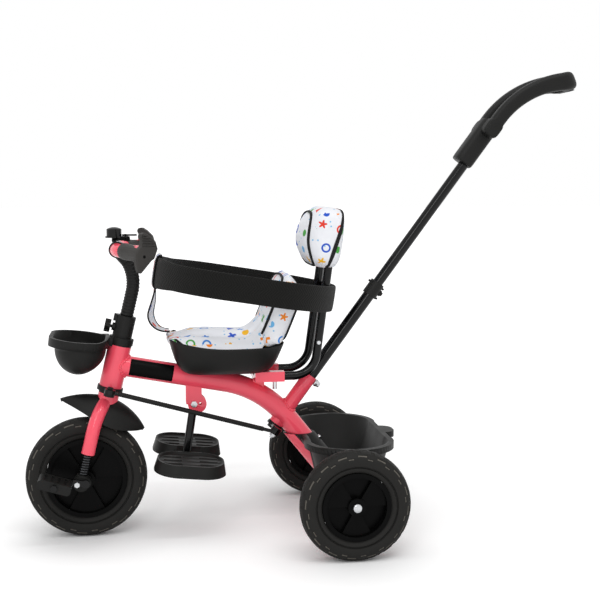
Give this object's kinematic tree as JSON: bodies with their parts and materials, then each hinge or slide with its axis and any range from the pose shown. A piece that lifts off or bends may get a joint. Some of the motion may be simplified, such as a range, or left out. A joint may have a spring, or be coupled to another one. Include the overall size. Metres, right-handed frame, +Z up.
{
  "type": "toddler push-along trike",
  "caption": "Pedal trike for a toddler with a linked push handle that steers, guard ring, folding footrest, two baskets and sprung front fork.",
  "frame": {"origin": "on the floor under the middle of the whole length and width", "axes": "+X forward, the way the rider faces; +Y to the rider's left; +Z up"},
  "size_m": [1.0698, 0.4886, 0.8861],
  "materials": {
    "pink_paint": "gloss",
    "black_tube": "gloss",
    "black_plastic": "satin",
    "hub_plastic": "gloss",
    "tyre_foam": "matt",
    "grip_rubber": "matt",
    "zinc": "bright",
    "spring_steel": "satin",
    "print_fabric": "matt",
    "band_fabric": "matt"
  },
  "bodies": {
    "frame": {"main_frame": "pink_paint", "headset_cups": "black_plastic", "rear_axle": "zinc", "axle_caps": "zinc", "handle_bush": "black_plastic", "frame_bolts": "zinc", "seat_pan": "black_plastic", "seat_cushion": "print_fabric", "back_cushion": "print_fabric", "back_rail": "black_tube", "headrest": "print_fabric", "guard_ring": "band_fabric", "crotch_strap": "print_fabric", "rear_basket": "black_plastic", "footrest_bolt": "zinc"},
    "steering": {"fork": "pink_paint", "steering_arm": "zinc", "mudguard": "black_plastic", "stem_sleeve": "black_plastic", "front_basket": "black_plastic", "fork_springs": "spring_steel"},
    "suspension": {"axle_carriers": "black_plastic"},
    "front_wheel": {"front_hub": "hub_plastic", "front_tyre": "tyre_foam", "pedal_crank": "zinc"},
    "left_pedal": {"pedal_left": "black_plastic"},
    "right_pedal": {"pedal_right": "black_plastic"},
    "handlebar_post": {"stem": "black_tube", "bar_clamp": "black_plastic", "handlebar": "pink_paint", "grip_left": "grip_rubber", "grip_right": "grip_rubber", "bell": "hub_plastic"},
    "bell_thumb_lever": {"bell_lever": "black_plastic"},
    "clamp_knob": {"stem_knob": "black_plastic"},
    "rear_left_wheel": {"rear_hub_left": "hub_plastic", "rear_tyre_left": "tyre_foam"},
    "rear_right_wheel": {"rear_hub_right": "hub_plastic", "rear_tyre_right": "tyre_foam"},
    "push_handle": {"handle_lower": "black_tube", "handle_crank": "zinc", "handle_collar": "black_plastic"},
    "lock_button": {"handle_button": "black_plastic"},
    "push_handle_top": {"handle_upper": "black_tube", "handle_grip": "black_plastic"},
    "steering_rod": {"push_rod": "black_tube"},
    "footrest": {"footrest_post": "black_tube", "foot_plates": "black_plastic"}
  },
  "joints": [
    {"name": "steering", "type": "hinge", "parent": "frame", "child": "steering", "pos_m": [0.37323, 0, 0.28695], "axis": [-0.2334, 0, 0.9724], "range_deg": [-20, 20]},
    {"name": "front_suspension", "type": "slide", "parent": "steering", "child": "suspension", "axis": [-0.2334, 0, 0.9724], "range_m": [0, 0.012], "stiffness_N_per_m": 4000, "springref_m": -0.012, "deforming": ["fork_springs"]},
    {"name": "front_wheel_spin", "type": "hinge", "parent": "suspension", "child": "front_wheel", "pos_m": [0.42092, 0, 0.114], "axis": [0, 1, 0], "continuous": true},
    {"name": "left_pedal_spin", "type": "hinge", "parent": "front_wheel", "child": "left_pedal", "pos_m": [0.475, 0.064, 0.12402], "axis": [0, 1, 0], "continuous": true},
    {"name": "right_pedal_spin", "type": "hinge", "parent": "front_wheel", "child": "right_pedal", "pos_m": [0.36684, -0.064, 0.10398], "axis": [0, 1, 0], "continuous": true},
    {"name": "handlebar_height", "type": "slide", "parent": "steering", "child": "handlebar_post", "axis": [-0.2334, 0, 0.9724], "range_m": [0, 0.03]},
    {"name": "bell_ring", "type": "hinge", "parent": "handlebar_post", "child": "bell_thumb_lever", "pos_m": [0.3409, 0.0213, 0.5739], "axis": [0, 0, 1], "range_deg": [0, 20], "stiffness_Nm_per_rad": 0.02},
    {"name": "clamp_knob_turn", "type": "hinge", "parent": "steering", "child": "clamp_knob", "pos_m": [0.34678, 0, 0.39711], "axis": [0.9724, 0, 0.2334], "range_deg": [0, 180]},
    {"name": "rear_left_spin", "type": "hinge", "parent": "frame", "child": "rear_left_wheel", "pos_m": [-0.05808, 0.219, 0.1], "axis": [0, 1, 0], "continuous": true},
    {"name": "rear_right_spin", "type": "hinge", "parent": "frame", "child": "rear_right_wheel", "pos_m": [-0.05808, -0.219, 0.1], "axis": [0, 1, 0], "continuous": true},
    {"name": "push_handle_turn", "type": "hinge", "parent": "frame", "child": "push_handle", "pos_m": [0.04153, 0, 0.22492], "axis": [-0.5948, 0, 0.8039], "range_deg": [-22, 22]},
    {"name": "steering_rod_swing", "type": "hinge", "parent": "steering", "child": "steering_rod", "pos_m": [0.37428, 0.036, 0.28257], "axis": [-0.234, 0.0466, 0.9711], "range_deg": [-21, 21]},
    {"name": "handle_length", "type": "slide", "parent": "push_handle", "child": "push_handle_top", "axis": [-0.5948, 0, 0.8039], "range_m": [-0.18, 0]},
    {"name": "handle_lock_press", "type": "slide", "parent": "push_handle", "child": "lock_button", "axis": [0.8039, 0, 0.5948], "range_m": [0, 0.0025], "stiffness_N_per_m": 600},
    {"name": "footrest_fold", "type": "hinge", "parent": "frame", "child": "footrest", "pos_m": [0.2157, 0, 0.24942], "axis": [0, 1, 0], "range_deg": [0, 25]}
  ],
  "couplings": [
    {"joint": "push_handle_turn", "follows": "steering", "ratio": 1.0632},
    {"joint": "steering_rod_swing", "follows": "steering", "ratio": -1.0011}
  ]
}
